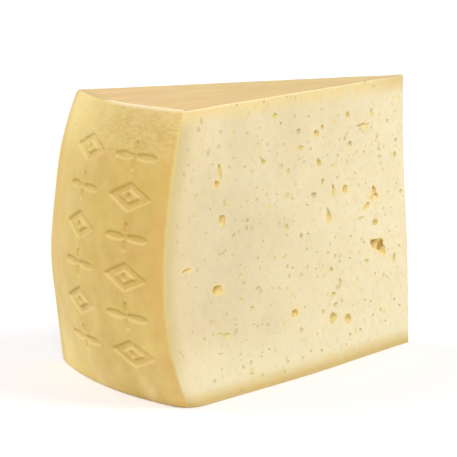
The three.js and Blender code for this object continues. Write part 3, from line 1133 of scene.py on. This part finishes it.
# Paler towards the tip: partly the paste's own tone, partly painted light.
tip_side = ease(tree, kept(tree, "below_rind"), 60.0, 165.0)
colour = layer(tree, colour, tip_side, 0.75, (244, 231, 191))
HALF_WAY = 64.0                      # mm up from the foot
from_half_way = sums(tree, "ABSOLUTE", sums(tree, "SUBTRACT", kept(tree, "above_foot"), HALF_WAY))
dusk = along_edge(tree, place_on, "below_rind", 36.0, 60.0, 24.0, 22.0)
colour = layer(tree, colour, dusk, ease(tree, from_half_way, 18.0, 50.0, 0.6, 0.0), (214, 198, 160))
colour = add_blotches(tree, place_on, colour, (3.6, 7.0, 0.35, (236, 213, 160)))
colour = add_bands(tree, place_on, colour,
                   ("below_rind", 4.0, 26.0, 10.0, 14.0, 0.55, (230, 205, 156)),
                   ("below_rind", 0.5, 10.0, 4.0, 9.0, 0.85, (210, 190, 132)),
                   ("below_top", 1.0, 8.0, 6.0, 14.0, 0.85, (238, 213, 144)),
                   # A thin bright line just under the top edge: a painted highlight.
                   ("below_top", 0.3, 0.9, 0.6, 10.0, 0.7, (250, 233, 186)),
                   # A pale band above the foot: partly the paste's own tone, partly painted light.
                   ("above_foot", 4.0, 30.0, 8.0, 20.0, 0.75, (241, 229, 190)),
                   ("above_foot", 2.5, 6.5, 3.0, 9.0, 0.85, (221, 196, 128)),
                   ("above_foot", 1.0, 3.0, 1.5, 6.0, 0.8, (212, 180, 110)),
                   ("from_eye", 0.0, 1.8, 1.4, 3.0, 0.7, (242, 220, 148)))
relief = pores = use(tree, grain, Place=place_on, Size=2.2, Seed=8.0)
colour = over(tree, ease(tree, pores, 0.5, 0.75, 0.0, 0.35), colour, tone(206, 190, 140))
for size, grey, olive, strength in ((4.5, (194, 178, 134), (214, 198, 132), 0.55),
                                    (6.5, (192, 174, 124), (200, 184, 108), 0.6),
                                    (8.5, (226, 206, 130), (236, 214, 124), 0.6)):
    fleck = use(tree, flecks, Place=place_on, Size=size)
    shade = over(tree, tip_side, tone(*grey), tone(*olive))
    colour = over(tree, sums(tree, "MULTIPLY", fleck, strength), colour, shade)
    relief = sums(tree, "MULTIPLY_ADD", fleck, -0.5, relief)
tan = along_edge(tree, place_on, "below_top", 1.0, 9.0, 5.0, 12.0)
by_tip = ease(tree, kept(tree, "below_rind"), 125.0, 170.0)
colour = layer(tree, colour, tan, by_tip, (224, 196, 134))
waxy = use(tree, blotches, Place=place_on, Size=14.0, Seed=9.0)
end_finish(tree, surface, colour, relief, 0.18 * MM, ease(tree, waxy, 0.0, 1.0, 0.38, 0.5))

# %% [markdown]
# ## The eyes' lining
#
# Inside an eye the paste has a fatty shine. Its colour comes from the warmth that each eye
# was given, from grey over olive to gold. It deepens with the way into the cut, and in warm
# eyes the upper side towards the rind is painted darker: painted shade for the lip's shade.

# %% Lining finish
tree, surface, place_on = start_finish(LINING, 0.38, 0.25)
mottle = use(tree, grain, Place=place_on, Size=2.5, Seed=10.0)
warm = sums(tree, "MULTIPLY_ADD", sums(tree, "SUBTRACT", mottle, 0.5), 0.6, kept(tree, "warmth"))
colour = over(tree, ease(tree, warm, 0.1, 0.45), tone(216, 203, 162), tone(230, 214, 138))
colour = over(tree, ease(tree, warm, 0.5, 0.9), colour, tone(242, 218, 144))
depth = kept(tree, "into_cut")
colour = over(tree, ease(tree, depth, 0.6, 2.6, 0.0, 0.6), colour, tone(232, 196, 94))
# Painted shade: warm eyes darker on the upper side towards the rind, under the lip.
painted_lip_shade = sums(tree, "MULTIPLY", ease(tree, kept(tree, "under_lip"), -0.3, 0.45),
              ease(tree, depth, 0.15, 0.6, 0.0, 0.9))
painted_lip_shade = sums(tree, "MULTIPLY", painted_lip_shade, ease(tree, warm, 0.4, 0.8))
colour = over(tree, painted_lip_shade, colour, tone(188, 160, 100), "MULTIPLY")
colour = over(tree, ease(tree, depth, 0.05, 0.5), tone(236, 218, 172), colour)
end_finish(tree, surface, colour, mottle, 0.2 * MM)
print("finishes:", [finish.name for finish in finishes])

# %% Riding on the frame
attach(wedge, "root")
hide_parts(NODE)

# %% [markdown]
# ## Floor and light
#
# A white floor, white surroundings that fill the shadows, and three soft lamps. The key
# stands behind the camera for the near cut, the left one lights the rind, and the right one
# throws the faint shadow left of it. To the camera the floor glows a little, like a light
# table, so that it burns out to white and keeps only a trace of shadow.

# %% Floor
rest()
bpy.ops.mesh.primitive_plane_add(size=12)
floor = bpy.context.object
floor.name = "floor"
floor_finish = bpy.data.materials.new("floor")
floor_finish.use_nodes = True
tree = floor_finish.node_tree
tree.nodes.remove(tree.nodes["Principled BSDF"])
bouncing = node(tree, "ShaderNodeBsdfDiffuse", {"Color": (0.85, 0.85, 0.85, 1)})
seen = node(tree, "ShaderNodeBsdfDiffuse", {"Color": (0.75, 0.75, 0.75, 1)})
lit_through = node(tree, "ShaderNodeEmission", {"Color": (0.25, 0.235, 0.25, 1), "Strength": 1.0})
seen = node(tree, "ShaderNodeAddShader", {0: seen.outputs[0], 1: lit_through.outputs[0]})
by_camera = node(tree, "ShaderNodeLightPath").outputs["Is Camera Ray"]
floor_look = node(tree, "ShaderNodeMixShader",
                  {0: by_camera, 1: bouncing.outputs[0], 2: seen.outputs[0]})
tree.links.new(floor_look.outputs[0], tree.nodes["Material Output"].inputs["Surface"])
floor.data.materials.append(floor_finish)

# %% Lights
SKY = 0.58

scene = bpy.context.scene
scene.view_settings.view_transform = "Standard"
scene.world = bpy.data.worlds.new("studio")
scene.world.use_nodes = True
surroundings = scene.world.node_tree.nodes["Background"].inputs
surroundings["Color"].default_value = (1, 1, 1, 1)
surroundings["Strength"].default_value = SKY


def soft_light(name, towards, spread, strength):
    """A far lamp in the given direction: as soft as it is wide, and even over the floor."""
    data = bpy.data.lights.new(name, "SUN")
    data.angle = math.radians(spread)
    data.energy = strength
    light = bpy.data.objects.new(name, data)
    scene.collection.objects.link(light)
    light.rotation_euler = Vector(towards).to_track_quat("Z", "Y").to_euler()


soft_light("key", (0.60, -0.45, 0.75), 22, 0.80)
soft_light("left", (-0.60, -0.65, 0.90), 35, 0.85)
soft_light("right", (0.55, 0.45, 0.60), 22, 0.95)
